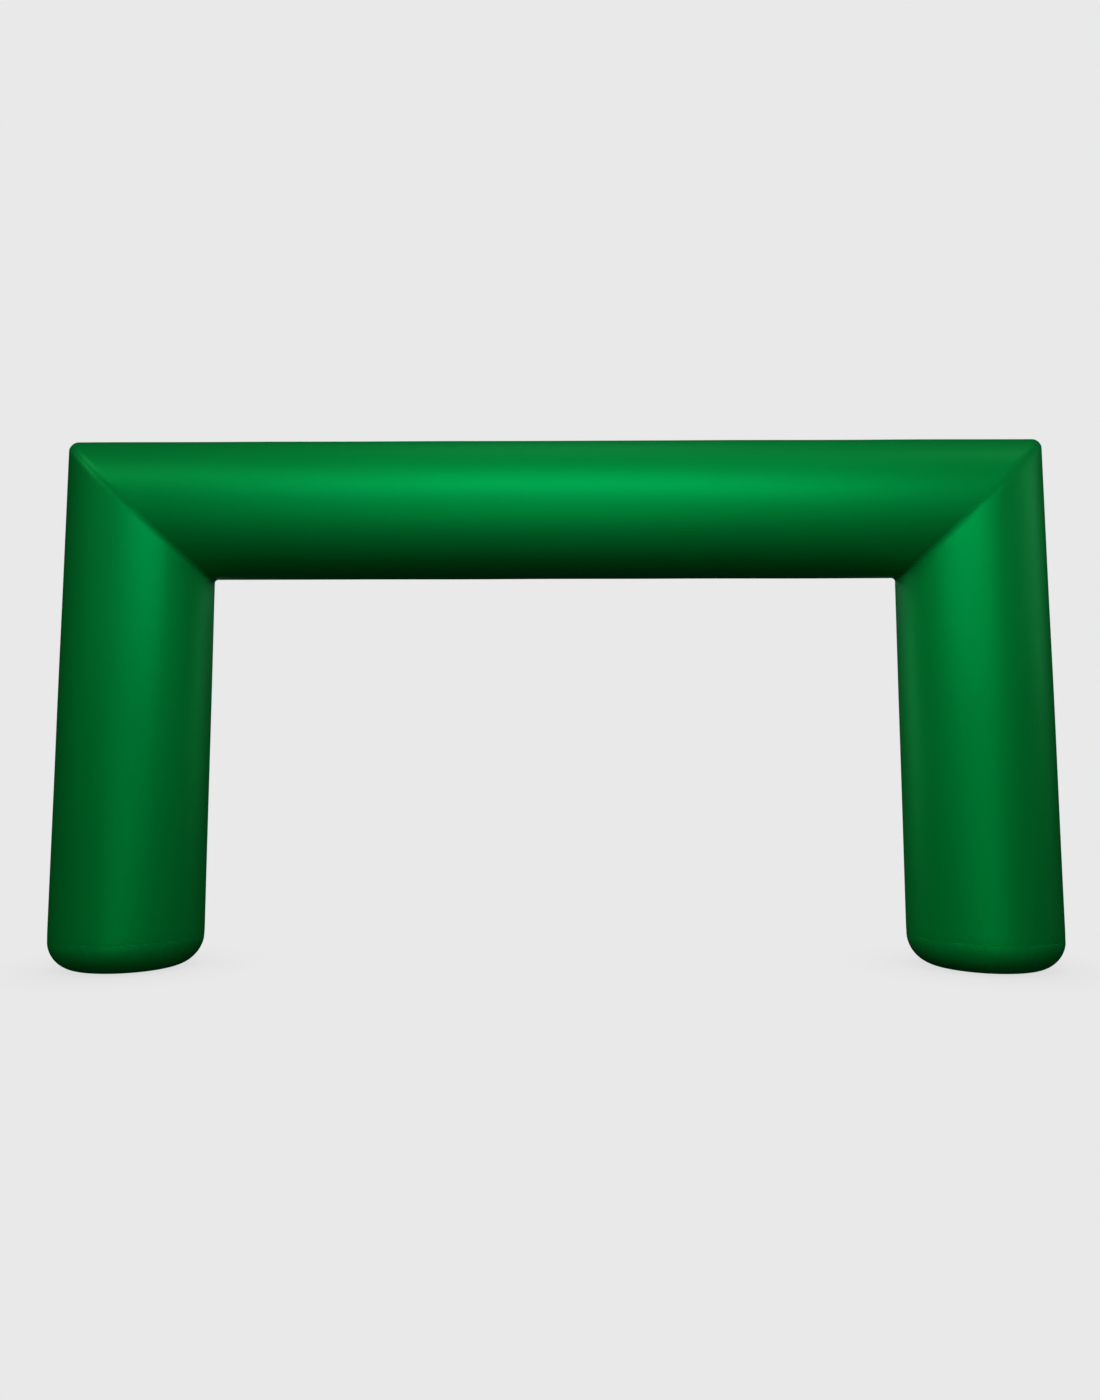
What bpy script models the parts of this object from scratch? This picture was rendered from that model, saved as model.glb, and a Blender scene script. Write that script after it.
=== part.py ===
"""Inflatable arch: a cloth tube in the shape of a goal, blown up tight and standing on two round feet.

Five sewn pieces of coated green cloth make it: one crossbar, two legs that meet it in mitre seams,
and a bowl-shaped base that closes each leg. Each is a filled solid of its true blown-up form.
Metres, +Z up. X runs along the crossbar and the front faces -Y. The origin is on the floor, midway
between the feet.
"""

import math

import bmesh
import bpy

# Driving dimensions
OUTER_WIDTH = 6.10
OVERALL_HEIGHT = 3.255
CROSSBAR_DIAMETER = 0.86
LEG_WIDTH = 0.886

# How far the seams round off where the crossbar turns down into a leg
OUTER_CORNER_RADIUS = 0.055
INNER_CORNER_RADIUS = 0.027

# The turned-in rim of a base: how wide and how high it is
RIM_WIDTH = 0.178
RIM_HEIGHT = 0.183

# A leg is as deep as the crossbar at the mitre and becomes round over this length below it
ROUNDING_LENGTH = 0.90

SEAM_GAP = 0.0003  # clearance between two sewn pieces

AROUND = 72  # points round a tube
CORNER_STEPS = 3  # steps of the half of a rounded mitre that one piece has
RIM_STEPS = 9
ROUNDING_STEPS = 5

# What follows from them
CROSSBAR_RADIUS = CROSSBAR_DIAMETER / 2
LEG_RADIUS = LEG_WIDTH / 2
AXIS_HEIGHT = OVERALL_HEIGHT - CROSSBAR_RADIUS
LEG_AXIS_X = OUTER_WIDTH / 2 - LEG_RADIUS
CLEAR_HEIGHT = AXIS_HEIGHT - CROSSBAR_RADIUS
ROUNDING_TOP = CLEAR_HEIGHT - INNER_CORNER_RADIUS

CLOTH_GREEN = (0.0, 0.156, 0.022, 1.0)
CLOTH_ROUGHNESS = 0.45


def clear_scene():
    for thing in list(bpy.data.objects):
        bpy.data.objects.remove(thing)


def coated_cloth(name):
    """The green coated polyester of one piece."""
    material = bpy.data.materials.new(name)
    material.use_nodes = True
    shader = material.node_tree.nodes["Principled BSDF"]
    shader.inputs["Base Color"].default_value = CLOTH_GREEN
    shader.inputs["Roughness"].default_value = CLOTH_ROUGHNESS
    shader.inputs["Metallic"].default_value = 0.0
    material.diffuse_color = CLOTH_GREEN
    return material


def angles_around():
    """Angles round a tube: 0 is the front, a quarter turn is the top or the outer side."""
    return [2 * math.pi * step / AROUND for step in range(AROUND)]


def smooth_step(share):
    share = min(max(share, 0.0), 1.0)
    return share * share * (3 - 2 * share)


def corner_radius(angle):
    """The rounding of the mitre grows from the inner corner to the outer one."""
    middle = (OUTER_CORNER_RADIUS + INNER_CORNER_RADIUS) / 2
    swing = (OUTER_CORNER_RADIUS - INNER_CORNER_RADIUS) / 2
    return middle + swing * math.sin(angle)


def mitre_ring(side, turn):
    """A ring of the rounded mitre: turn 0 is its edge on the crossbar, a quarter turn that on the leg."""
    ring = []
    for angle in angles_around():
        x = LEG_AXIS_X + LEG_RADIUS * math.sin(angle)
        y = -CROSSBAR_RADIUS * math.cos(angle)
        z = AXIS_HEIGHT + CROSSBAR_RADIUS * math.sin(angle)
        down = corner_radius(angle)
        inward = down * LEG_RADIUS / CROSSBAR_RADIUS
        x -= inward * (1 - math.sin(turn))
        z -= down * (1 - math.cos(turn))
        ring.append((side * x, y, z))
    return ring


def level_ring(side, z, width_radius, depth_radius):
    """A level ring round a leg's axis."""
    return [
        (
            side * (LEG_AXIS_X + width_radius * math.sin(angle)),
            -depth_radius * math.cos(angle),
            z,
        )
        for angle in angles_around()
    ]


def leg_depth(z):
    """Half of a leg's depth, front to back, at a height."""
    share = smooth_step((ROUNDING_TOP - z) / ROUNDING_LENGTH)
    return CROSSBAR_RADIUS + (LEG_RADIUS - CROSSBAR_RADIUS) * share


def tube_through(rings, name):
    """One closed solid: each ring is bridged to the next, and the two ends are capped."""
    mesh = bmesh.new()
    loops = []
    for ring in rings:
        points = [mesh.verts.new(point) for point in ring]
        loops.append([mesh.edges.new((points[i - 1], points[i])) for i in range(AROUND)])
    for first, second in zip(loops, loops[1:]):
        bmesh.ops.bridge_loops(mesh, edges=first + second)
    for end in (loops[0], loops[-1]):
        bmesh.ops.contextual_create(mesh, geom=end)
    bmesh.ops.recalc_face_normals(mesh, faces=mesh.faces)
    data = bpy.data.meshes.new(name)
    mesh.to_mesh(data)
    mesh.free()
    data.shade_smooth()
    data.set_sharp_from_angle(angle=math.radians(35))
    piece = bpy.data.objects.new(name, data)
    bpy.context.scene.collection.objects.link(piece)
    data.materials.append(coated_cloth(name + "_cloth"))
    return piece


def crossbar():
    """The level tube, cut at 45 degrees at both ends."""
    turns = [math.pi / 4 * step / CORNER_STEPS for step in range(CORNER_STEPS, -1, -1)]
    shortening = SEAM_GAP * math.sqrt(2)
    left = [[(x + shortening, y, z) for x, y, z in mitre_ring(-1, turn)] for turn in turns]
    right = [[(x - shortening, y, z) for x, y, z in mitre_ring(1, turn)] for turn in reversed(turns)]
    return tube_through(left + right, "crossbar")


def leg(side, name):
    """An upright tube, from its mitre down to the seam of its base."""
    turns = [math.pi / 4 * (1 + step / CORNER_STEPS) for step in range(CORNER_STEPS + 1)]
    rings = [mitre_ring(side, turn) for turn in turns]
    for step in range(ROUNDING_STEPS + 1):
        z = ROUNDING_TOP - INNER_CORNER_RADIUS - ROUNDING_LENGTH * step / ROUNDING_STEPS
        rings.append(level_ring(side, z, LEG_RADIUS, leg_depth(z)))
    rings.append(level_ring(side, RIM_HEIGHT, LEG_RADIUS, LEG_RADIUS))
    return tube_through(rings, name)


def base(side, name):
    """The bowl that closes a leg: a rim that turns in to a flat round foot on the floor."""
    rings = []
    for step in range(RIM_STEPS + 1):
        turn = math.pi / 2 * step / RIM_STEPS
        radius = LEG_RADIUS - RIM_WIDTH * (1 - math.cos(turn))
        z = (RIM_HEIGHT - SEAM_GAP) * (1 - math.sin(turn))
        rings.append(level_ring(side, z, radius, radius))
    return tube_through(rings, name)


def build():
    clear_scene()
    crossbar()
    for side, name in ((-1, "left"), (1, "right")):
        leg(side, name + "_leg")
        base(side, name + "_base")


build()
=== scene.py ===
import math

import bmesh
import bpy
import numpy as np
from mathutils import Matrix, Vector


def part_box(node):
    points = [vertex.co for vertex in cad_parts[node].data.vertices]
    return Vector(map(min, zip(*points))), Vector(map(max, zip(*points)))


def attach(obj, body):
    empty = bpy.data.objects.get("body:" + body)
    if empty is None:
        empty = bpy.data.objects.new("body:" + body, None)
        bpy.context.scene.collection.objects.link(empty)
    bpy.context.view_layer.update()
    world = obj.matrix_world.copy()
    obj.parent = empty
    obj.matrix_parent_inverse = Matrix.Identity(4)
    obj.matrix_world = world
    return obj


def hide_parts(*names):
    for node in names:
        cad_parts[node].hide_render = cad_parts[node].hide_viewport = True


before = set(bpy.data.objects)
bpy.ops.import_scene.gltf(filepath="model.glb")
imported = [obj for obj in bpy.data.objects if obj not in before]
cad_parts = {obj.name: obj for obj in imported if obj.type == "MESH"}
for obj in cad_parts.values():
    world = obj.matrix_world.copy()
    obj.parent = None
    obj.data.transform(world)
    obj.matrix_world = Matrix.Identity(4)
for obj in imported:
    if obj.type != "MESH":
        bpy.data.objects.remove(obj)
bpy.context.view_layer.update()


# ------------------------------------------------------------------------------------------ camera
# The picture is taken from in front of the arch, just above waist height and close to it, with a wide
# lens that looks slightly up. That is why the legs spread towards the floor.

EYE = Vector((0.0172, -6.1611, 1.0563))
TURN_LEFT = math.radians(0.401)
TILT_UP = math.radians(5.237)
ROLL = math.radians(-0.063)
LENS_MM = 25.552
SENSOR_MM = 36.0

camera = bpy.data.objects.new("camera", bpy.data.cameras.new("camera"))
bpy.context.scene.collection.objects.link(camera)
camera.data.lens = LENS_MM
camera.data.sensor_width = SENSOR_MM
camera.matrix_world = (
    Matrix.Translation(EYE)
    @ Matrix.Rotation(TURN_LEFT, 4, "Z")
    @ Matrix.Rotation(math.pi / 2 + TILT_UP, 4, "X")
    @ Matrix.Rotation(ROLL, 4, "Z")
)
bpy.context.scene.camera = camera


# ---------------------------------------------------------------------------------------- crossbar
# The crossbar is one length of green coated polyester, closed into a tube by a lapped seam down its
# back and cut at 45 degrees at both ends. The air inside holds it round and drum-tight.

bar_low, bar_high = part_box("crossbar")
leg_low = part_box("right_leg")[0]
foot_low, foot_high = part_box("right_base")
BAR_RADIUS = (bar_high.y - bar_low.y) / 2
BAR_AXIS_HEIGHT = bar_high.z - BAR_RADIUS
LEG_RADIUS = (foot_high.x - foot_low.x) / 2
LEG_AXIS_X = (foot_high.x + foot_low.x) / 2
LEG_BOTTOM = leg_low.z

OUTER_CORNER_RADIUS = 0.055  # how the cloth rounds off over the mitre seam at the arch's outer corner
INNER_CORNER_RADIUS = 0.027
LEG_ROUNDING_TOP = BAR_AXIS_HEIGHT - BAR_RADIUS - INNER_CORNER_RADIUS
LEG_ROUNDING_LENGTH = 0.90  # a leg is as deep as the crossbar above this stretch, and round below it

AROUND = 600  # points round a tube
MIDDLE_ROWS = 36  # rows of points from the cloth near a mitre to the middle of the crossbar
NEAR_SEAM_MM = (0, 1.2, 2.5, 4, 6, 8.5, 12, 17, 23, 30, 38, 48, 60, 75, 95, 120, 150, 190)
NEAR_SEAM = np.array(NEAR_SEAM_MM) / 1000

# A sewn seam: a fine groove where the two cloths turn in, a slight waist, and a row of topstitching on
# each side that pulls the cloth down
GROOVE_DEPTH = 0.0008
GROOVE_WIDTH = 0.0013
WAIST_DEPTH = 0.0011
WAIST_WIDTH = 0.024
STITCH_ROW_OFFSET = 0.006
STITCH_TUCK_DEPTH = 0.0003
STITCH_TUCK_WIDTH = 0.0018

# The lapped seam down the back of a tube, where one edge of the cloth lies over the other
LAP_HALF_WIDTH = 0.008
LAP_HEIGHT = 0.0008
LAP_SLOPE = 0.003
LAP_EDGE = 0.0007
LAP_STITCH_OFFSET = 0.005
LAP_COLUMNS_MM = (1.5, 4, 5, 6, 7.3, 8, 9.2, 11)  # columns of points on each side of its middle
LAP_COLUMNS = np.array(LAP_COLUMNS_MM) / 1000

# The tube is never quite true: slow waves about a metre long, a fraction of a millimetre high
WAVE_COUNT = 6
WAVE_HEIGHT = 0.00028
WAVE_LENGTHS = (0.55, 1.6)
WAVE_SEED = 11


def soft_step(share):
    share = np.clip(share, 0.0, 1.0)
    return share * share * (3 - 2 * share)


def corner_radius(angle):
    """The rounding of the mitre grows from the inner corner to the outer one."""
    middle = (OUTER_CORNER_RADIUS + INNER_CORNER_RADIUS) / 2
    swing = (OUTER_CORNER_RADIUS - INNER_CORNER_RADIUS) / 2
    return middle + swing * np.sin(angle)


def leg_depth(height):
    """Half of a leg's depth, front to back."""
    share = soft_step((LEG_ROUNDING_TOP - height) / LEG_ROUNDING_LENGTH)
    return BAR_RADIUS + (LEG_RADIUS - BAR_RADIUS) * share


def tube_form(side, angle, along):
    """The smooth form of the arch on one side, -1 or 1. Angle 0 is the front, and a quarter turn is the top
    of the crossbar or the outer side of a leg. along is in metres from the mitre seam: more than 0 on the
    crossbar and less than 0 on the leg."""
    rounding = corner_radius(angle)
    quarter = rounding * math.pi / 4
    turn = math.pi / 4 - np.clip(along, -quarter, quarter) / rounding
    x = LEG_AXIS_X + LEG_RADIUS * np.sin(angle)
    x = x - rounding * LEG_RADIUS / BAR_RADIUS * (1 - np.sin(turn)) - np.maximum(along - quarter, 0)
    z = BAR_AXIS_HEIGHT + BAR_RADIUS * np.sin(angle)
    z = z - rounding * (1 - np.cos(turn)) - np.maximum(-along - quarter, 0)
    y = -leg_depth(z) * np.cos(angle)
    return np.stack([side * x, y, z], axis=-1)


def bar_half_length(angle):
    """From the mitre seam along the crossbar to its middle, at an angle round the tube."""
    rounding = corner_radius(angle)
    return LEG_AXIS_X + LEG_RADIUS * np.sin(angle) + rounding * (math.pi / 4 - LEG_RADIUS / BAR_RADIUS)


def outward(form, side, angle, along, step=0.0005):
    """The direction straight out of the cloth."""
    turn = step / BAR_RADIUS
    across = form(side, angle + turn, along) - form(side, angle - turn, along)
    upward = form(side, angle, along + step) - form(side, angle, along - step)
    normal = side * np.cross(across, upward)
    return normal / np.linalg.norm(normal, axis=-1, keepdims=True)


def seam_relief(distance):
    """How the cloth dips towards a sewn seam."""
    groove = GROOVE_DEPTH * np.exp(-((distance / GROOVE_WIDTH) ** 2))
    waist = WAIST_DEPTH * np.exp(-((distance / WAIST_WIDTH) ** 2))
    tuck = STITCH_TUCK_DEPTH * np.exp(-(((distance - STITCH_ROW_OFFSET) / STITCH_TUCK_WIDTH) ** 2))
    return -groove - waist - tuck


def lap_relief(angle):
    """How far the lapped seam down the back stands up."""
    from_back = (np.mod(angle, 2 * math.pi) - math.pi) * BAR_RADIUS
    rise = soft_step((from_back + LAP_HALF_WIDTH + LAP_SLOPE) / LAP_SLOPE)
    edge = soft_step((LAP_HALF_WIDTH - from_back) / LAP_EDGE)
    tuck = np.exp(-(((np.abs(from_back) - LAP_STITCH_OFFSET) / STITCH_TUCK_WIDTH) ** 2))
    return LAP_HEIGHT * rise * edge - STITCH_TUCK_DEPTH * tuck


wave_draw = np.random.default_rng(WAVE_SEED)
wave_directions = wave_draw.normal(size=(WAVE_COUNT, 3))
wave_directions /= np.linalg.norm(wave_directions, axis=1, keepdims=True)
wave_directions *= 2 * math.pi / wave_draw.uniform(*WAVE_LENGTHS, (WAVE_COUNT, 1))
wave_starts = wave_draw.uniform(0, 2 * math.pi, WAVE_COUNT)


def slow_waves(points):
    """How far the waves raise the cloth at each point."""
    return WAVE_HEIGHT * np.sin(points @ wave_directions.T + wave_starts).sum(axis=-1)


GATHER_SHIFT = 0.45  # how far a pucker may lie from its even place, as a share of the spacing
GATHER_SHORTEST = 0.5  # the least share of its reach that a pucker keeps
GATHER_SLANT = 0.25  # how many metres it leans sideways for each metre from the seam
DIP_OR_RISE = (-1.0, -1.0, 1.0)  # two puckers in three dip


def gathers(seed, spacing, widths, reaches, heights, round_length):
    """Small uneven puckers along a seam: place, width, reach from the seam, height and slant of each."""
    draw = np.random.default_rng(seed)
    count = int(round_length / spacing)
    table = np.empty((count, 5))
    table[:, 0] = (np.arange(count) + draw.uniform(-GATHER_SHIFT, GATHER_SHIFT, count)) * spacing
    table[:, 1] = draw.uniform(*widths, count)
    table[:, 2] = draw.uniform(*reaches, count) * draw.uniform(GATHER_SHORTEST, 1.0, count)
    table[:, 3] = draw.uniform(*heights, count) * draw.choice(DIP_OR_RISE, count)
    table[:, 4] = draw.normal(0.0, GATHER_SLANT, count)
    return table


def gather_relief(table, place, distance, round_length):
    """Each pucker is nothing at the seam itself, highest at its reach, and dies away beyond it."""
    total = np.zeros(np.broadcast(place, distance).shape)
    for at, width, reach, height, slant in table:
        beside = np.mod(place - at - slant * distance + round_length / 2, round_length) - round_length / 2
        ahead = distance / reach
        total += height * np.exp(-((beside / width) ** 2)) * ahead * np.exp(1 - ahead)
    return total


ROUND_LENGTH = 2 * math.pi * LEG_RADIUS
MITRE_GATHERS = dict(
    spacing=0.021, widths=(0.008, 0.017), reaches=(0.008, 0.040), heights=(0.00008, 0.00040),
    round_length=ROUND_LENGTH,
)
INNER_CORNER_GATHERS = 1.0  # how much deeper the puckers are at the inner corner, where cloth is left over
BAR_SEED = 20

bar_gathers = {side: gathers(BAR_SEED + side, **MITRE_GATHERS) for side in (-1, 1)}


def inner_share(angle):
    """1 at the inner corner of the arch, falling to 0 at the front and the back."""
    return np.clip(-np.sin(angle), 0, 1) ** 2


def bar_cloth(side, angle, along):
    """The crossbar's cloth with everything that raises or draws it in."""
    bare = tube_form(side, angle, along)
    pucker = gather_relief(bar_gathers[side], angle * LEG_RADIUS, along, ROUND_LENGTH)
    relief = seam_relief(along) + pucker * (1 + INNER_CORNER_GATHERS * inner_share(angle))
    relief = relief + lap_relief(angle) + slow_waves(bare)
    return bare + outward(tube_form, side, angle, along) * relief[..., None]


def angles_around():
    """Angles of the points round a tube, from the back and round to it again, closer on the lapped seam."""
    even = np.linspace(-math.pi, math.pi, AROUND, endpoint=False)
    clear = LAP_COLUMNS[-1] / BAR_RADIUS
    even = even[(even == -math.pi) | (np.abs(even) < math.pi - clear)]
    lap = LAP_COLUMNS / BAR_RADIUS
    return np.sort(np.concatenate([even, math.pi - lap, lap - math.pi]))


ANGLES = angles_around()
ANGLES_ROUND_AGAIN = np.append(ANGLES, math.pi)  # the last column of the cloth meets the first one


SHARP_EDGE = math.radians(35)
SEAM_SHADE_WIDTH = 0.005  # how far the darker line of dirt and painted shade along a seam spreads


def closed_skin(name, rows, places, seam_distances):
    """One closed body: rows of points round the tube, each joined to the next, and a flat end in the first
    and the last. places are the points' places in the flat cloth, in metres, one column more than rows."""
    count, around = rows.shape[:2]
    first = np.arange(around)
    after = (first + 1) % around
    start = np.arange(count - 1)[:, None] * around
    quads = np.stack([start + first, start + after, start + around + after, start + around + first], -1)
    ends = [first.tolist(), (first[::-1] + (count - 1) * around).tolist()]
    mesh = bpy.data.meshes.new(name)
    mesh.from_pydata(rows.reshape(-1, 3), [], quads.reshape(-1, 4).tolist() + ends)
    cloth_place = mesh.uv_layers.new(name="cloth")
    corners = np.stack([places[:-1, :-1], places[:-1, 1:], places[1:, 1:], places[1:, :-1]], axis=2)
    flat_ends = np.zeros((2 * around, 2))
    cloth_place.data.foreach_set("uv", np.concatenate([corners.reshape(-1, 2), flat_ends]).ravel())
    # How near each point lies to a seam, for the darker line of dirt and painted shade there
    nearness = mesh.attributes.new("near_seam", "FLOAT", "POINT")
    spread = np.broadcast_to(np.exp(-seam_distances / SEAM_SHADE_WIDTH), (count, around))
    nearness.data.foreach_set("value", spread.ravel())
    shape = bmesh.new()
    shape.from_mesh(mesh)
    bmesh.ops.recalc_face_normals(shape, faces=shape.faces)
    shape.to_mesh(mesh)
    shape.free()
    mesh.shade_smooth()
    mesh.set_sharp_from_angle(angle=SHARP_EDGE)
    piece = bpy.data.objects.new(name, mesh)
    bpy.context.scene.collection.objects.link(piece)
    return piece


def group_socket(group, name, way, kind="NodeSocketFloat"):
    group.interface.new_socket(name=name, in_out=way, socket_type=kind)


def math_node(nodes, links, operation, *values):
    """A Math node whose inputs are numbers or other nodes' outputs."""
    node = nodes.new("ShaderNodeMath")
    node.operation = operation
    for socket, value in zip(node.inputs, values):
        if isinstance(value, (int, float)):
            socket.default_value = value
        else:
            links.new(value, socket)
    return node.outputs[0]


THREAD_WOBBLE_SCALE = 90.0
THREAD_WOBBLE = 0.9  # in threads


def plain_weave_group():
    """Over-and-under threads that show faintly through the coating."""
    group = bpy.data.node_groups.new("plain weave", "ShaderNodeTree")
    group_socket(group, "Cloth place", "INPUT", "NodeSocketVector")
    group_socket(group, "Thread spacing", "INPUT")
    group_socket(group, "Height", "OUTPUT")
    group_socket(group, "Hollows", "OUTPUT")
    nodes, links = group.nodes, group.links
    inside = nodes.new("NodeGroupInput")
    outside = nodes.new("NodeGroupOutput")
    wobble = nodes.new("ShaderNodeTexNoise")
    wobble.inputs["Scale"].default_value = THREAD_WOBBLE_SCALE
    wobble.inputs["Detail"].default_value = 1.0
    links.new(inside.outputs["Cloth place"], wobble.inputs["Vector"])
    split = nodes.new("ShaderNodeSeparateXYZ")
    links.new(inside.outputs["Cloth place"], split.inputs[0])
    drift = math_node(nodes, links, "MULTIPLY", wobble.outputs["Fac"], THREAD_WOBBLE)
    counts = []
    for axis in ("X", "Y"):
        threads = math_node(nodes, links, "DIVIDE", split.outputs[axis], inside.outputs["Thread spacing"])
        counts.append(math_node(nodes, links, "ADD", threads, drift))
    across, along = counts
    sets_of_threads = []
    for mine, other, shift in ((across, along, 0.0), (along, across, 1.0)):
        half_turns = math_node(nodes, links, "MULTIPLY", mine, math.pi)
        wave = math_node(nodes, links, "SINE", half_turns)
        round_thread = math_node(nodes, links, "ABSOLUTE", wave)
        number = math_node(nodes, links, "FLOOR", mine)
        shifted = math_node(nodes, links, "ADD", number, shift)
        passed = math_node(nodes, links, "ADD", shifted, other)
        phase = math_node(nodes, links, "MULTIPLY", passed, math.pi)
        over_or_under = math_node(nodes, links, "SINE", phase)
        lift = math_node(nodes, links, "MULTIPLY_ADD", over_or_under, 0.5, 0.5)
        sets_of_threads.append(math_node(nodes, links, "MULTIPLY", round_thread, lift))
    height = math_node(nodes, links, "MAXIMUM", *sets_of_threads)
    links.new(height, outside.inputs["Height"])
    hollow = math_node(nodes, links, "SUBTRACT", 1.0, height)
    deep_hollow = math_node(nodes, links, "POWER", hollow, 2.0)
    links.new(deep_hollow, outside.inputs["Hollows"])
    return group


FLECK_SCALE = 420.0
FLECK_SHARE = 0.5
MIDDLE_OF_NOISE = 0.5 + FLECK_SHARE / 2


def uneven_dye_group():
    """Broad clouds and fine flecks in the colour of dyed and coated cloth."""
    group = bpy.data.node_groups.new("uneven dye", "ShaderNodeTree")
    group_socket(group, "Place", "INPUT", "NodeSocketVector")
    group_socket(group, "Cloud size", "INPUT")
    group_socket(group, "Amount", "INPUT")
    group_socket(group, "Shade", "OUTPUT")
    group_socket(group, "Clouds", "OUTPUT")
    nodes, links = group.nodes, group.links
    inside = nodes.new("NodeGroupInput")
    outside = nodes.new("NodeGroupOutput")
    scaled = nodes.new("ShaderNodeVectorMath")
    scaled.operation = "DIVIDE"
    links.new(inside.outputs["Place"], scaled.inputs[0])
    links.new(inside.outputs["Cloud size"], scaled.inputs[1])
    clouds = nodes.new("ShaderNodeTexNoise")
    clouds.inputs["Scale"].default_value = 1.0
    clouds.inputs["Detail"].default_value = 3.0
    links.new(scaled.outputs[0], clouds.inputs["Vector"])
    flecks = nodes.new("ShaderNodeTexNoise")
    flecks.inputs["Scale"].default_value = FLECK_SCALE
    flecks.inputs["Detail"].default_value = 2.0
    links.new(inside.outputs["Place"], flecks.inputs["Vector"])
    both = math_node(nodes, links, "MULTIPLY_ADD", flecks.outputs["Fac"], FLECK_SHARE, clouds.outputs["Fac"])
    centred = math_node(nodes, links, "SUBTRACT", both, MIDDLE_OF_NOISE)
    shade = math_node(nodes, links, "MULTIPLY_ADD", centred, inside.outputs["Amount"], 1.0)
    links.new(shade, outside.inputs["Shade"])
    links.new(clouds.outputs["Fac"], outside.inputs["Clouds"])
    return group


CREASE_BEND_SCALE = 3.0
CREASE_BEND = 0.12
CREASE_BREAK_SCALE = 5.0
CREASE_BREAKS = (0.48, 0.62)  # a crease starts to show at the first noise value and shows fully at the second


def packing_creases_group():
    """Faint broken creases that folding for the bag leaves in coated cloth."""
    group = bpy.data.node_groups.new("packing creases", "ShaderNodeTree")
    group_socket(group, "Cloth place", "INPUT", "NodeSocketVector")
    group_socket(group, "Spacing", "INPUT")
    group_socket(group, "Width", "INPUT")
    group_socket(group, "Depth", "OUTPUT")
    nodes, links = group.nodes, group.links
    inside = nodes.new("NodeGroupInput")
    outside = nodes.new("NodeGroupOutput")
    bend = nodes.new("ShaderNodeTexNoise")
    bend.inputs["Scale"].default_value = CREASE_BEND_SCALE
    links.new(inside.outputs["Cloth place"], bend.inputs["Vector"])
    bent = nodes.new("ShaderNodeVectorMath")
    bent.operation = "MULTIPLY_ADD"
    bent.inputs[1].default_value = (CREASE_BEND,) * 3
    links.new(bend.outputs["Color"], bent.inputs[0])
    links.new(inside.outputs["Cloth place"], bent.inputs[2])
    scaled = nodes.new("ShaderNodeVectorMath")
    scaled.operation = "DIVIDE"
    links.new(bent.outputs[0], scaled.inputs[0])
    links.new(inside.outputs["Spacing"], scaled.inputs[1])
    cells = nodes.new("ShaderNodeTexVoronoi")
    cells.feature = "DISTANCE_TO_EDGE"
    cells.inputs["Scale"].default_value = 1.0
    links.new(scaled.outputs[0], cells.inputs["Vector"])
    metres = math_node(nodes, links, "MULTIPLY", cells.outputs["Distance"], inside.outputs["Spacing"])
    widths = math_node(nodes, links, "DIVIDE", metres, inside.outputs["Width"])
    falling = math_node(nodes, links, "MULTIPLY", widths, -1.0)
    line = math_node(nodes, links, "EXPONENT", falling)
    breaks = nodes.new("ShaderNodeTexNoise")
    breaks.inputs["Scale"].default_value = CREASE_BREAK_SCALE
    links.new(inside.outputs["Cloth place"], breaks.inputs["Vector"])
    shown = nodes.new("ShaderNodeMapRange")
    shown.inputs["From Min"].default_value = CREASE_BREAKS[0]
    shown.inputs["From Max"].default_value = CREASE_BREAKS[1]
    links.new(breaks.outputs["Fac"], shown.inputs["Value"])
    depth = math_node(nodes, links, "MULTIPLY", line, shown.outputs["Result"])
    links.new(depth, outside.inputs["Depth"])
    return group


PLAIN_WEAVE = plain_weave_group()
UNEVEN_DYE = uneven_dye_group()
PACKING_CREASES = packing_creases_group()

# The coating's shine is green too, as fine pearl pigment in it makes it, so no white shows at the edges
CLOTH_GREEN = (0.0, 0.267, 0.033, 1.0)
SHINE_GREEN = (0.0, 1.0, 1.0, 1.0)
PEARL_SHARE = 0.4
CLEAR_SHINE = 0.15
CLOTH_ROUGHNESS = 0.47
THREAD_SPACING = 0.0008
WEAVE_HEIGHT_MM = 0.03
WEAVE_PAINTED_SHADE = (1.03, -0.10)  # on top of a thread, and the painted shade that darkens it from there to a hollow
SEAM_DIRT_AND_PAINTED_SHADE = -0.12  # the dirt and painted shade in the groove at a seam
CREASE_WIDTH = 0.006
CREASE_DEPTH_MM = 0.05
DYE_ROUGHNESS = 0.06
HOLLOW_ROUGHNESS = 0.08
MILLIMETRE = 0.001  # the weave and the creases are measured in millimetres


def group_node(nodes, group, **values):
    """A node group placed in a material with its own values. An underscore stands for a space."""
    node = nodes.new("ShaderNodeGroup")
    node.node_tree = group
    for name, value in values.items():
        node.inputs[name.replace("_", " ")].default_value = value
    return node


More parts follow.
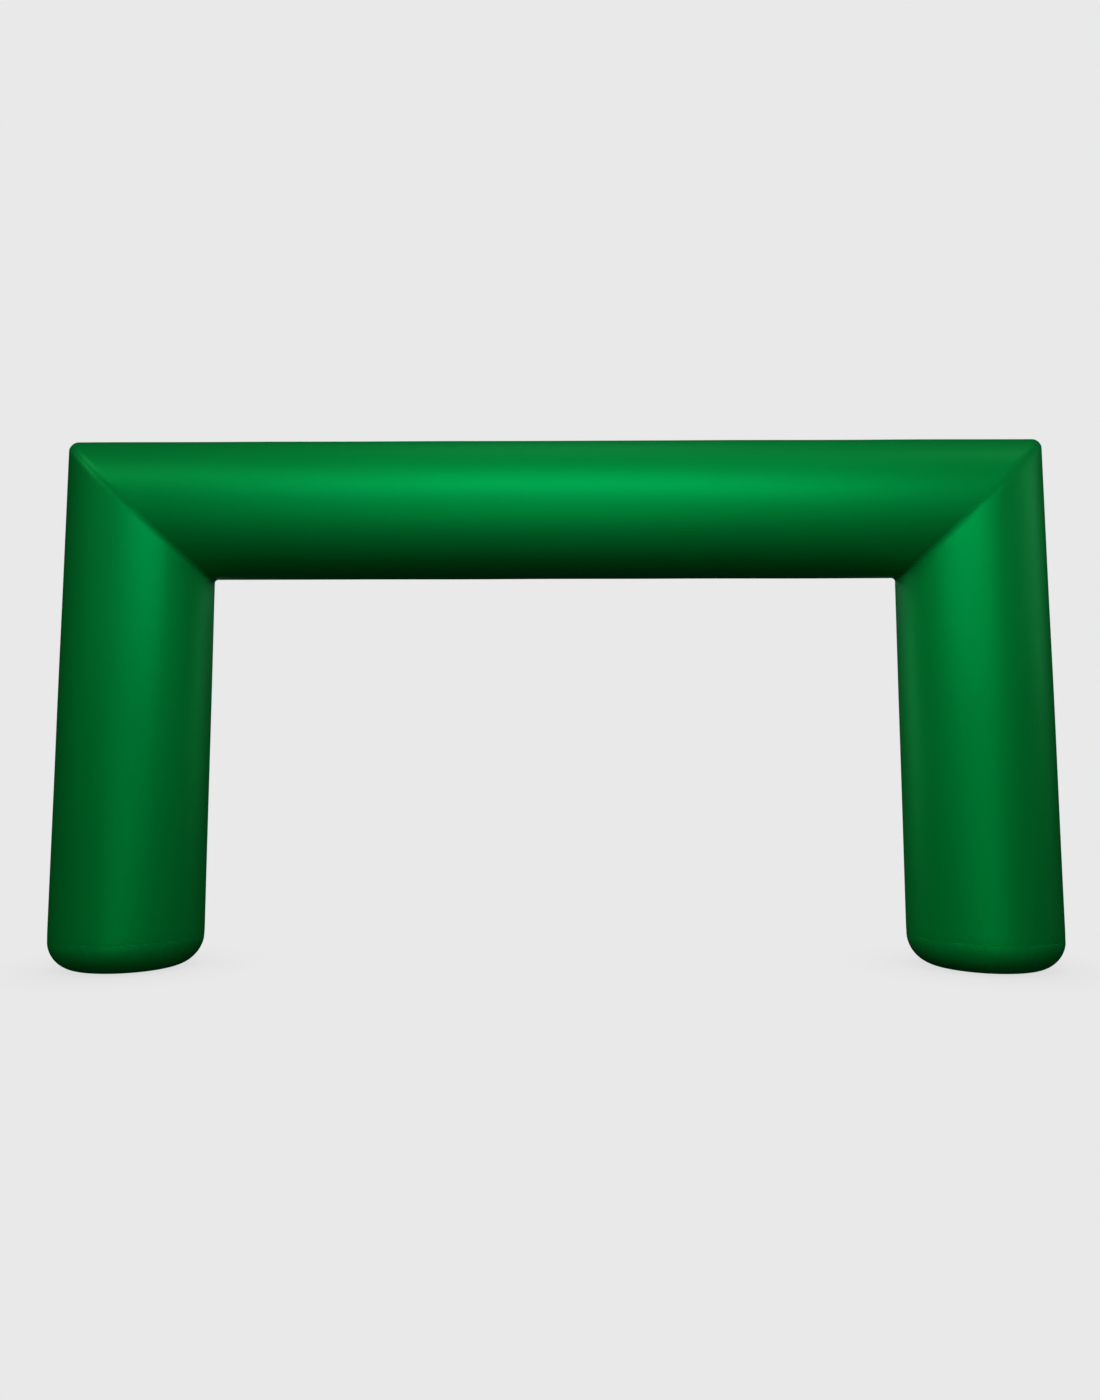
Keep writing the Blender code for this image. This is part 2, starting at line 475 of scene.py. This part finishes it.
def coated_cloth(name, cloud_size, dye_amount, crease_spacing):
    """Green coated polyester: satin, with its weave, its dye and its creases."""
    material = bpy.data.materials.new(name)
    material.use_nodes = True
    nodes, links = material.node_tree.nodes, material.node_tree.links
    shader = nodes["Principled BSDF"]
    shader.inputs["Metallic"].default_value = PEARL_SHARE
    shader.inputs["Specular IOR Level"].default_value = CLEAR_SHINE
    shader.inputs["Specular Tint"].default_value = SHINE_GREEN
    cloth_place = nodes.new("ShaderNodeUVMap")
    cloth_place.uv_map = "cloth"
    solid_place = nodes.new("ShaderNodeTexCoord")
    near_seam = nodes.new("ShaderNodeAttribute")
    near_seam.attribute_name = "near_seam"
    weave = group_node(nodes, PLAIN_WEAVE, Thread_spacing=THREAD_SPACING)
    dye = group_node(nodes, UNEVEN_DYE, Cloud_size=cloud_size, Amount=dye_amount)
    creases = group_node(nodes, PACKING_CREASES, Spacing=crease_spacing, Width=CREASE_WIDTH)
    links.new(cloth_place.outputs[0], weave.inputs["Cloth place"])
    links.new(cloth_place.outputs[0], creases.inputs["Cloth place"])
    links.new(solid_place.outputs["Object"], dye.inputs["Place"])

    # Painted shade: the colour darkens in the weave's hollows between threads. The dye's clouds and flecks
    # are the cloth's own.
    on_thread, in_hollow = WEAVE_PAINTED_SHADE
    weave_painted_shade = math_node(nodes, links, "MULTIPLY_ADD", weave.outputs["Hollows"], in_hollow, on_thread)
    # The groove along a seam is darker in colour: partly dirt that gathers there, partly painted shade.
    seam_dirt_and_painted_shade = math_node(nodes, links, "MULTIPLY_ADD", near_seam.outputs["Fac"], SEAM_DIRT_AND_PAINTED_SHADE, 1.0)
    shade = math_node(nodes, links, "MULTIPLY", dye.outputs["Shade"], weave_painted_shade)
    shade = math_node(nodes, links, "MULTIPLY", shade, seam_dirt_and_painted_shade)
    colour = nodes.new("ShaderNodeVectorMath")
    colour.operation = "SCALE"
    colour.inputs[0].default_value = CLOTH_GREEN[:3]
    links.new(shade, colour.inputs["Scale"])
    links.new(colour.outputs[0], shader.inputs["Base Color"])

    least_rough = CLOTH_ROUGHNESS - DYE_ROUGHNESS / 2
    rough = math_node(nodes, links, "MULTIPLY_ADD", dye.outputs["Clouds"], DYE_ROUGHNESS, least_rough)
    rough = math_node(nodes, links, "MULTIPLY_ADD", weave.outputs["Hollows"], HOLLOW_ROUGHNESS, rough)
    links.new(rough, shader.inputs["Roughness"])

    raised = math_node(nodes, links, "MULTIPLY", weave.outputs["Height"], WEAVE_HEIGHT_MM)
    raised = math_node(nodes, links, "MULTIPLY_ADD", creases.outputs["Depth"], -CREASE_DEPTH_MM, raised)
    bump = nodes.new("ShaderNodeBump")
    bump.inputs["Strength"].default_value = 1.0
    bump.inputs["Distance"].default_value = MILLIMETRE
    links.new(raised, bump.inputs["Height"])
    links.new(bump.outputs[0], shader.inputs["Normal"])
    return material


def bar_rows(side):
    """Rows of the crossbar's cloth from one mitre seam to the middle: distances from the seam."""
    half = bar_half_length(ANGLES_ROUND_AGAIN)
    share = np.arange(1, MIDDLE_ROWS + 1)[:, None] / MIDDLE_ROWS
    middle = NEAR_SEAM[-1] + (half - NEAR_SEAM[-1]) * share
    near = np.broadcast_to(NEAR_SEAM[:, None], (len(NEAR_SEAM), len(half)))
    along = np.concatenate([near, middle])
    round_place = np.broadcast_to(ANGLES_ROUND_AGAIN * BAR_RADIUS, along.shape)
    places = np.stack([side * (half - along), round_place], axis=-1)
    points = bar_cloth(side, ANGLES, along[:, :-1])
    return points, places, along[:, :-1]


left_points, left_places, left_along = bar_rows(-1)
right_points, right_places, right_along = bar_rows(1)
crossbar_skin = closed_skin(
    "crossbar_skin",
    np.concatenate([left_points, right_points[-2::-1]]),
    np.concatenate([left_places, right_places[-2::-1]]),
    np.concatenate([left_along, right_along[-2::-1]]),
)
crossbar_skin.data.materials.append(
    coated_cloth("crossbar_cloth", cloud_size=0.7, dye_amount=0.07, crease_spacing=0.55)
)
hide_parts("crossbar")
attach(crossbar_skin, "root")


# -------------------------------------------------------------------------------------------- legs
# Each leg is a tube of the same cloth, sewn to the crossbar round its slanting top, with its own
# lapped seam down the back. It is as deep as the crossbar at the mitre and becomes round below it.

SIDES = ((-1, "left"), (1, "right"))
LEG_MIDDLE_ROWS = 44
LEG_GATHERS = dict(MITRE_GATHERS, spacing=0.023)
HEM_GATHERS = dict(
    spacing=0.026, widths=(0.008, 0.015), reaches=(0.008, 0.030), heights=(0.00010, 0.00040),
    round_length=ROUND_LENGTH,
)
LEG_TOP_SEED = 30
LEG_BOTTOM_SEED = 40

leg_top_gathers = {side: gathers(LEG_TOP_SEED + side, **LEG_GATHERS) for side in (-1, 1)}
leg_bottom_gathers = {side: gathers(LEG_BOTTOM_SEED + side, **HEM_GATHERS) for side in (-1, 1)}


def leg_length(angle):
    """From the mitre seam down to the seam of the base, at an angle round the leg."""
    rounding = corner_radius(angle)
    top = BAR_AXIS_HEIGHT + BAR_RADIUS * np.sin(angle) - rounding
    return top - LEG_BOTTOM + rounding * math.pi / 4


def leg_cloth(side, angle, along):
    """A leg's cloth with everything that raises or draws it in. along is less than 0."""
    bare = tube_form(side, angle, along)
    from_top = -along
    from_bottom = leg_length(angle) - from_top
    place = angle * LEG_RADIUS
    pucker = gather_relief(leg_top_gathers[side], place, from_top, ROUND_LENGTH)
    pucker = pucker * (1 + INNER_CORNER_GATHERS * inner_share(angle))
    pucker = pucker + gather_relief(leg_bottom_gathers[side], place, from_bottom, ROUND_LENGTH)
    relief = seam_relief(from_top) + seam_relief(from_bottom) + pucker
    relief = relief + lap_relief(angle) + slow_waves(bare)
    return bare + outward(tube_form, side, angle, along) * relief[..., None]


def leg(side, name):
    """One leg: rows of points from the mitre seam down to the seam of its base."""
    length = leg_length(ANGLES_ROUND_AGAIN)
    near = np.broadcast_to(NEAR_SEAM[:, None], (len(NEAR_SEAM), len(length)))
    share = np.arange(1, LEG_MIDDLE_ROWS)[:, None] / LEG_MIDDLE_ROWS
    middle = NEAR_SEAM[-1] + (length - 2 * NEAR_SEAM[-1]) * share
    down = np.concatenate([near, middle, length - near[::-1]])
    places = np.stack([np.broadcast_to(ANGLES_ROUND_AGAIN * LEG_RADIUS, down.shape), length - down], -1)
    down = down[:, :-1]
    to_seam = np.minimum(down, length[:-1] - down)
    return closed_skin(name, leg_cloth(side, ANGLES, -down), places, to_seam)


for side, label in SIDES:
    leg_skin = leg(side, label + "_leg_skin")
    leg_skin.data.materials.append(
        coated_cloth(label + "_leg_cloth", cloud_size=0.6, dye_amount=0.07, crease_spacing=0.48)
    )
    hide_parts(label + "_leg")
    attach(leg_skin, "root")


# ------------------------------------------------------------------------------------------- bases
# A round bowl of the same cloth closes the lower end of each leg. Its rim turns in to a flat foot that
# the air presses on the ground, and the cloth that is left over on the rim lies in small gathers.

RIM_WIDTH = 0.178
RIM_HEIGHT = LEG_BOTTOM
FOOT_RADIUS = LEG_RADIUS - RIM_WIDTH
ROWS_NEAR_SEAM = 8
RIM_ROWS = 30
FOOT_ROWS = 8
FOOT_ROW_RATIO = 0.5  # each ring of points in the foot has this share of the radius of the one outside it
RIM_QUARTER = math.pi / 2
RIM_FINE_STEPS = 400
GATHERS_END = 0.35  # share of the rim's length over which the gathers die away towards the foot

RIM_GATHERS = dict(
    spacing=0.024, widths=(0.007, 0.014), reaches=(0.030, 0.075), heights=(0.00025, 0.00085),
    round_length=ROUND_LENGTH,
)
BASE_SEED = 50

base_gathers = {side: gathers(BASE_SEED + side, **RIM_GATHERS) for side in (-1, 1)}


def rim_turns():
    """The rim's quarter of an ellipse in fine steps, with the length of cloth down to each."""
    turns = np.linspace(0, RIM_QUARTER, RIM_FINE_STEPS)
    steps = np.hypot(RIM_WIDTH * np.diff(np.cos(turns)), RIM_HEIGHT * np.diff(np.sin(turns)))
    return turns, np.concatenate([[0.0], np.cumsum(steps)])


RIM_TURNS, RIM_DEPTHS = rim_turns()
RIM_LENGTH = RIM_DEPTHS[-1]


def bowl_form(side, angle, along):
    """The smooth form of a base. along is less than 0: metres of cloth below its seam."""
    down = -along
    turn = np.interp(down, RIM_DEPTHS, RIM_TURNS)
    radius = LEG_RADIUS - RIM_WIDTH * (1 - np.cos(turn)) - np.maximum(down - RIM_LENGTH, 0)
    height = RIM_HEIGHT * (1 - np.sin(turn)) - np.minimum(down, 0)
    x = side * (LEG_AXIS_X + radius * np.sin(angle))
    return np.stack([x, -radius * np.cos(angle), np.broadcast_to(height, x.shape)], axis=-1)


def bowl_cloth(side, angle, along):
    """A base's cloth with its gathers, which end before the flat foot."""
    bare = bowl_form(side, angle, along)
    down = -along
    pucker = gather_relief(base_gathers[side], angle * LEG_RADIUS, down, ROUND_LENGTH)
    relief = seam_relief(down) + pucker + slow_waves(bare)
    to_foot = soft_step((RIM_LENGTH - down) / (GATHERS_END * RIM_LENGTH))
    cloth = bare + outward(bowl_form, side, angle, along) * (relief * to_foot)[..., None]
    cloth[..., 2] = np.maximum(cloth[..., 2], 0.0)
    return cloth


def base(side, name):
    """One base: rings of points from its seam down over the rim and in over the flat foot."""
    rest_of_rim = np.linspace(NEAR_SEAM[ROWS_NEAR_SEAM], RIM_LENGTH, RIM_ROWS)
    foot = RIM_LENGTH + FOOT_RADIUS * (1 - FOOT_ROW_RATIO ** np.arange(1, FOOT_ROWS))
    down = np.concatenate([NEAR_SEAM[:ROWS_NEAR_SEAM], rest_of_rim, foot])[:, None]
    cloth_radius = RIM_LENGTH + FOOT_RADIUS - down
    places = np.stack(
        [cloth_radius * np.sin(ANGLES_ROUND_AGAIN), cloth_radius * np.cos(ANGLES_ROUND_AGAIN)], axis=-1
    )
    return closed_skin(name, bowl_cloth(side, ANGLES, -down), places, down)


for side, label in SIDES:
    base_skin = base(side, label + "_base_skin")
    base_skin.data.materials.append(
        coated_cloth(label + "_base_cloth", cloud_size=0.3, dye_amount=0.09, crease_spacing=0.25)
    )
    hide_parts(label + "_base")
    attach(base_skin, "root")


# ---------------------------------------------------------------------------------------- stitches
# The seams are sewn with green bonded polyester thread on a machine, in two rows of lockstitch: one row
# on each side of a mitre or base seam, and two rows along the lap at the back of each tube.

STITCH_PITCH = 0.0060
STITCH_LENGTH = 0.0043
THREAD_RADIUS = 0.00045
THREAD_SIDES = 5
# Along the stitch and above the cloth, as shares of its length and of the thread's radius
STITCH_RINGS = ((-0.36, 0.25), (0.0, 0.75), (0.36, 0.25))
STITCH_END = (0.5, -0.9)
CLEAR_OF_SEAM = 0.008

THREAD_GREEN = (0.0, 0.26, 0.03, 1.0)
THREAD_ROUGHNESS = 0.50
PLY_SPACING = 0.0011
PLY_HEIGHT = 0.00008
PLY_PAINTED_SHADE = 0.12
PLY_ROUGHNESS = -0.05


def thread_material():
    """Twisted thread with the two plies of its twist, each ply's crest lighter and the groove between plies
    darker as painted shade.
    """
    material = bpy.data.materials.new("green_thread")
    material.use_nodes = True
    nodes, links = material.node_tree.nodes, material.node_tree.links
    shader = nodes["Principled BSDF"]
    shader.inputs["Specular Tint"].default_value = SHINE_GREEN
    place = nodes.new("ShaderNodeUVMap")
    place.uv_map = "cloth"
    split = nodes.new("ShaderNodeSeparateXYZ")
    links.new(place.outputs[0], split.inputs[0])
    slanted = math_node(nodes, links, "ADD", split.outputs["X"], split.outputs["Y"])
    turns = math_node(nodes, links, "MULTIPLY", slanted, 2 * math.pi / PLY_SPACING)
    ply = math_node(nodes, links, "SINE", turns)
    # Painted shade: the thread's colour follows the plies' height, darker in the grooves between them
    shade = math_node(nodes, links, "MULTIPLY_ADD", ply, PLY_PAINTED_SHADE, 1.0)
    colour = nodes.new("ShaderNodeVectorMath")
    colour.operation = "SCALE"
    colour.inputs[0].default_value = THREAD_GREEN[:3]
    links.new(shade, colour.inputs["Scale"])
    links.new(colour.outputs[0], shader.inputs["Base Color"])
    rough = math_node(nodes, links, "MULTIPLY_ADD", ply, PLY_ROUGHNESS, THREAD_ROUGHNESS)
    links.new(rough, shader.inputs["Roughness"])
    bump = nodes.new("ShaderNodeBump")
    bump.inputs["Distance"].default_value = PLY_HEIGHT
    links.new(ply, bump.inputs["Height"])
    links.new(bump.outputs[0], shader.inputs["Normal"])
    return material


GREEN_THREAD = thread_material()


def stitch_frames(points, normals, closed):
    """Centre, direction and outward normal of each stitch along a line on the cloth."""
    if closed:
        points = np.concatenate([points, points[:1]])
        normals = np.concatenate([normals, normals[:1]])
    lengths = np.concatenate([[0.0], np.cumsum(np.linalg.norm(np.diff(points, axis=0), axis=1))])
    count = int(lengths[-1] / STITCH_PITCH)
    at = (np.arange(count) + 0.5) * lengths[-1] / count

    def along_line(values, where):
        return np.stack([np.interp(where, lengths, column) for column in values.T], -1)

    centres = along_line(points, at)
    ways = along_line(points, at + STITCH_LENGTH / 2) - along_line(points, at - STITCH_LENGTH / 2)
    ways /= np.linalg.norm(ways, axis=1, keepdims=True)
    up = along_line(normals, at)
    up -= ways * (up * ways).sum(axis=1, keepdims=True)
    up /= np.linalg.norm(up, axis=1, keepdims=True)
    return centres, ways, up


def one_stitch():
    """Points (along, sideways, up) and faces of one stitch: a short rounded thread."""
    turns = [2 * math.pi * step / THREAD_SIDES for step in range(THREAD_SIDES)]
    points = [(-STITCH_END[0] * STITCH_LENGTH, 0.0, STITCH_END[1] * THREAD_RADIUS)]
    for share, lift in STITCH_RINGS:
        for turn in turns:
            up = (lift + math.cos(turn)) * THREAD_RADIUS
            points.append((share * STITCH_LENGTH, math.sin(turn) * THREAD_RADIUS, up))
    points.append((STITCH_END[0] * STITCH_LENGTH, 0.0, STITCH_END[1] * THREAD_RADIUS))
    faces = []
    last = len(points) - 1
    for step in range(THREAD_SIDES):
        after = (step + 1) % THREAD_SIDES
        faces.append((0, 1 + after, 1 + step))
        for ring in range(len(STITCH_RINGS) - 1):
            here = 1 + ring * THREAD_SIDES
            there = here + THREAD_SIDES
            faces.append((here + step, here + after, there + after, there + step))
        faces.append((last, last - THREAD_SIDES + step, last - THREAD_SIDES + after))
    return np.array(points), faces


def stitches(name, lines):
    """Every stitch along some lines on the cloth, joined in one mesh. A line is points, normals, closed."""
    pattern, faces = one_stitch()
    all_points = []
    for points, normals, closed in lines:
        centres, ways, up = stitch_frames(points, normals, closed)
        sideways = np.cross(up, ways)
        placed = centres[:, None] + pattern[None, :, :1] * ways[:, None]
        placed = placed + pattern[None, :, 1:2] * sideways[:, None] + pattern[None, :, 2:] * up[:, None]
        all_points.append(placed)
    all_points = np.concatenate(all_points)
    count = len(all_points)
    mesh = bpy.data.meshes.new(name)
    every_face = []
    for first in range(0, count * len(pattern), len(pattern)):
        every_face += [tuple(first + corner for corner in face) for face in faces]
    mesh.from_pydata(all_points.reshape(-1, 3), [], every_face)
    thread_place = mesh.uv_layers.new(name="cloth")
    corner_points = pattern[[corner for face in faces for corner in face]]
    around = np.arctan2(corner_points[:, 1], corner_points[:, 2]) * THREAD_RADIUS
    places = np.tile(np.stack([corner_points[:, 0], around], axis=-1), (count, 1))
    thread_place.data.foreach_set("uv", places.ravel())
    shape = bmesh.new()
    shape.from_mesh(mesh)
    bmesh.ops.recalc_face_normals(shape, faces=shape.faces)
    shape.to_mesh(mesh)
    shape.free()
    mesh.shade_smooth()
    mesh.materials.append(GREEN_THREAD)
    piece = bpy.data.objects.new(name, mesh)
    bpy.context.scene.collection.objects.link(piece)
    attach(piece, "root")


STEP_BESIDE_LINE = 0.001


def line_on_cloth(cloth, side, angle, along, closed):
    """Points of a line on the cloth, the directions straight out of it there, and whether it closes."""
    return cloth(side, angle, along), outward(cloth, side, angle, along, step=STEP_BESIDE_LINE), closed


POINTS_ROUND = 1200
POINTS_ALONG = 900
ROUND = np.linspace(-math.pi, math.pi, POINTS_ROUND, endpoint=False)
STRAIGHT = np.linspace(0.0, 1.0, POINTS_ALONG)

for side, label in SIDES:
    offset = np.full_like(ROUND, STITCH_ROW_OFFSET)
    stitches(
        label + "_mitre_stitches",
        [
            line_on_cloth(bar_cloth, side, ROUND, offset, True),
            line_on_cloth(leg_cloth, side, ROUND, -offset, True),
        ],
    )
    stitches(
        label + "_base_stitches",
        [
            line_on_cloth(leg_cloth, side, ROUND, STITCH_ROW_OFFSET - leg_length(ROUND), True),
            line_on_cloth(bowl_cloth, side, ROUND, -offset, True),
        ],
    )
    back_lines = []
    for across in (-LAP_STITCH_OFFSET, LAP_STITCH_OFFSET):
        angle = np.full_like(STRAIGHT, math.pi + across / BAR_RADIUS)
        length = leg_length(angle)
        along = -CLEAR_OF_SEAM - (length - 2 * CLEAR_OF_SEAM) * STRAIGHT
        back_lines.append(line_on_cloth(leg_cloth, side, angle, along, False))
    stitches(label + "_leg_back_stitches", back_lines)

back_lines = []
for across in (-LAP_STITCH_OFFSET, LAP_STITCH_OFFSET):
    angle = np.full_like(STRAIGHT, math.pi + across / BAR_RADIUS)
    half = bar_half_length(angle)
    along = CLEAR_OF_SEAM + (half - CLEAR_OF_SEAM) * STRAIGHT
    for side in (-1, 1):
        back_lines.append(line_on_cloth(bar_cloth, side, angle, along, False))
stitches("crossbar_back_stitches", back_lines)


# ------------------------------------------------------------------------------- floor and backdrop
# A plain pale floor runs on into a backdrop of the same tone, so no edge shows between them. The floor
# only glows, and a painted shadow darkens it a little round the feet.

PALE = 0.8148
FLOOR_SIZE = 60.0
# How far the painted shadow round the feet reaches, and how dark it gets
CONTACT_REACH = 0.45
PAINTED_CONTACT_SHADOW = 0.86
CONTACT_SAMPLES = 16

floor_mesh = bpy.data.meshes.new("floor")
edge = FLOOR_SIZE / 2
floor_corners = [(-edge, -edge, 0), (edge, -edge, 0), (edge, edge, 0), (-edge, edge, 0)]
floor_mesh.from_pydata(floor_corners, [], [(0, 1, 2, 3)])
floor = bpy.data.objects.new("floor", floor_mesh)
bpy.context.scene.collection.objects.link(floor)
floor.visible_diffuse = False
floor.visible_glossy = False
floor.visible_shadow = False

floor_material = bpy.data.materials.new("pale_floor")
floor_material.use_nodes = True
nodes, links = floor_material.node_tree.nodes, floor_material.node_tree.links
nodes.clear()
surface = nodes.new("ShaderNodeOutputMaterial")
glow = nodes.new("ShaderNodeEmission")
# Painted contact shadow: the floor's glow dims where the feet hem it in
shade = nodes.new("ShaderNodeAmbientOcclusion")
shade.samples = CONTACT_SAMPLES
shade.inputs["Distance"].default_value = CONTACT_REACH
tone = nodes.new("ShaderNodeMapRange")
tone.inputs["To Min"].default_value = PALE * PAINTED_CONTACT_SHADOW
tone.inputs["To Max"].default_value = PALE
links.new(shade.outputs["AO"], tone.inputs["Value"])
links.new(tone.outputs["Result"], glow.inputs["Strength"])
links.new(glow.outputs[0], surface.inputs["Surface"])
floor_mesh.materials.append(floor_material)


# ------------------------------------------------------------------------------------------ lights
# Plain soft studio light: two long soft boxes over the camera, weaker light from the floor, the sides
# and above, and three boxes at the back. Those stand behind the legs and the top of the crossbar, as the
# camera sees them, so they light the back of the arch and leave no pale rim in front.

bpy.context.scene.view_settings.view_transform = "Standard"

WHITE = (1.0, 1.0, 1.0)
COOL_DAYLIGHT = (0.55, 0.66, 1.0)  # the long boxes over the camera give the crossbar its bluish highlight
# name, place, point it faces, width, height, watts, colour
SOFT_BOXES = (
    ("key_long", (0, -4.2, 4.7), (0, 0, 2.2), 5.5, 0.4, 131, COOL_DAYLIGHT),
    ("key_low", (0, -4.2, 3.4), (0, 0, 2.6), 5.5, 0.25, 27, COOL_DAYLIGHT),
    ("key_above", (0, -5, 6.5), (0, 0, 2.0), 3.0, 2.0, 54, WHITE),
    ("fill_right", (3, -6.5, 4.3), (0, 0, 2.2), 0.6, 0.6, 38, WHITE),
    ("front_floor", (0, -6, 0.3), (0, 0, 2.0), 4.0, 0.6, 26, WHITE),
    ("side_right", (6, -1.5, 4.0), (0, 0, 2.0), 1.0, 2.0, 7, WHITE),
    ("behind_left", (-5, 5, 2.5), (0, 0, 1.8), 2.0, 2.0, 55, WHITE),
    ("behind_right", (5, 5, 2.5), (0, 0, 1.8), 2.0, 2.0, 38, WHITE),
    ("behind_middle", (0, 5, 5.0), (0, 0, 2.4), 3.0, 1.5, 60, WHITE),
)
# name, degrees round from the front (more than 0 is to the right), degrees up, strength
DISTANT_LIGHTS = (
    ("front_low", 0, -12, 0.17),
    ("front_left", -30, 40, 0.24),
    ("left_high", -60, 40, 0.49),
    ("right_low", 90, 14, 0.18),
    ("right_above", 80, 62, 0.17),
    ("overhead", 180, 80, 0.11),
)
DISTANT_SOFTNESS = math.radians(14)


def hang_lamp(name, lamp, place, way):
    """A lamp at its place, turned to shine one way. The camera doesn't see the lamp itself."""
    hung = bpy.data.objects.new(name, lamp)
    hung.location = place
    hung.rotation_mode = "QUATERNION"
    hung.rotation_quaternion = way.to_track_quat("-Z", "Y")
    hung.visible_camera = False
    bpy.context.scene.collection.objects.link(hung)


for name, place, target, width, height, watts, colour in SOFT_BOXES:
    lamp = bpy.data.lights.new(name, "AREA")
    lamp.shape = "RECTANGLE"
    lamp.size = width
    lamp.size_y = height
    lamp.energy = watts
    lamp.color = colour
    hang_lamp(name, lamp, place, Vector(target) - Vector(place))

for name, azimuth, elevation, strength in DISTANT_LIGHTS:
    lamp = bpy.data.lights.new(name, "SUN")
    lamp.angle = DISTANT_SOFTNESS
    lamp.energy = strength
    round_by, up_by = math.radians(azimuth), math.radians(elevation)
    level = math.cos(up_by)
    source = Vector((math.sin(round_by) * level, -math.cos(round_by) * level, math.sin(up_by)))
    hang_lamp(name, lamp, source, -source)

# The backdrop is as pale as the floor, and the room itself glows only faintly on the cloth
ROOM_GLOW = 0.01

world = bpy.data.worlds.new("studio")
bpy.context.scene.world = world
world.use_nodes = True
nodes, links = world.node_tree.nodes, world.node_tree.links
nodes.clear()
sky = nodes.new("ShaderNodeOutputWorld")
glow = nodes.new("ShaderNodeBackground")
glow.inputs["Color"].default_value = (*WHITE, 1.0)
ray = nodes.new("ShaderNodeLightPath")
strength = nodes.new("ShaderNodeMapRange")
strength.inputs["To Min"].default_value = ROOM_GLOW
strength.inputs["To Max"].default_value = PALE
links.new(ray.outputs["Is Camera Ray"], strength.inputs["Value"])
links.new(strength.outputs["Result"], glow.inputs["Strength"])
links.new(glow.outputs[0], sky.inputs["Surface"])
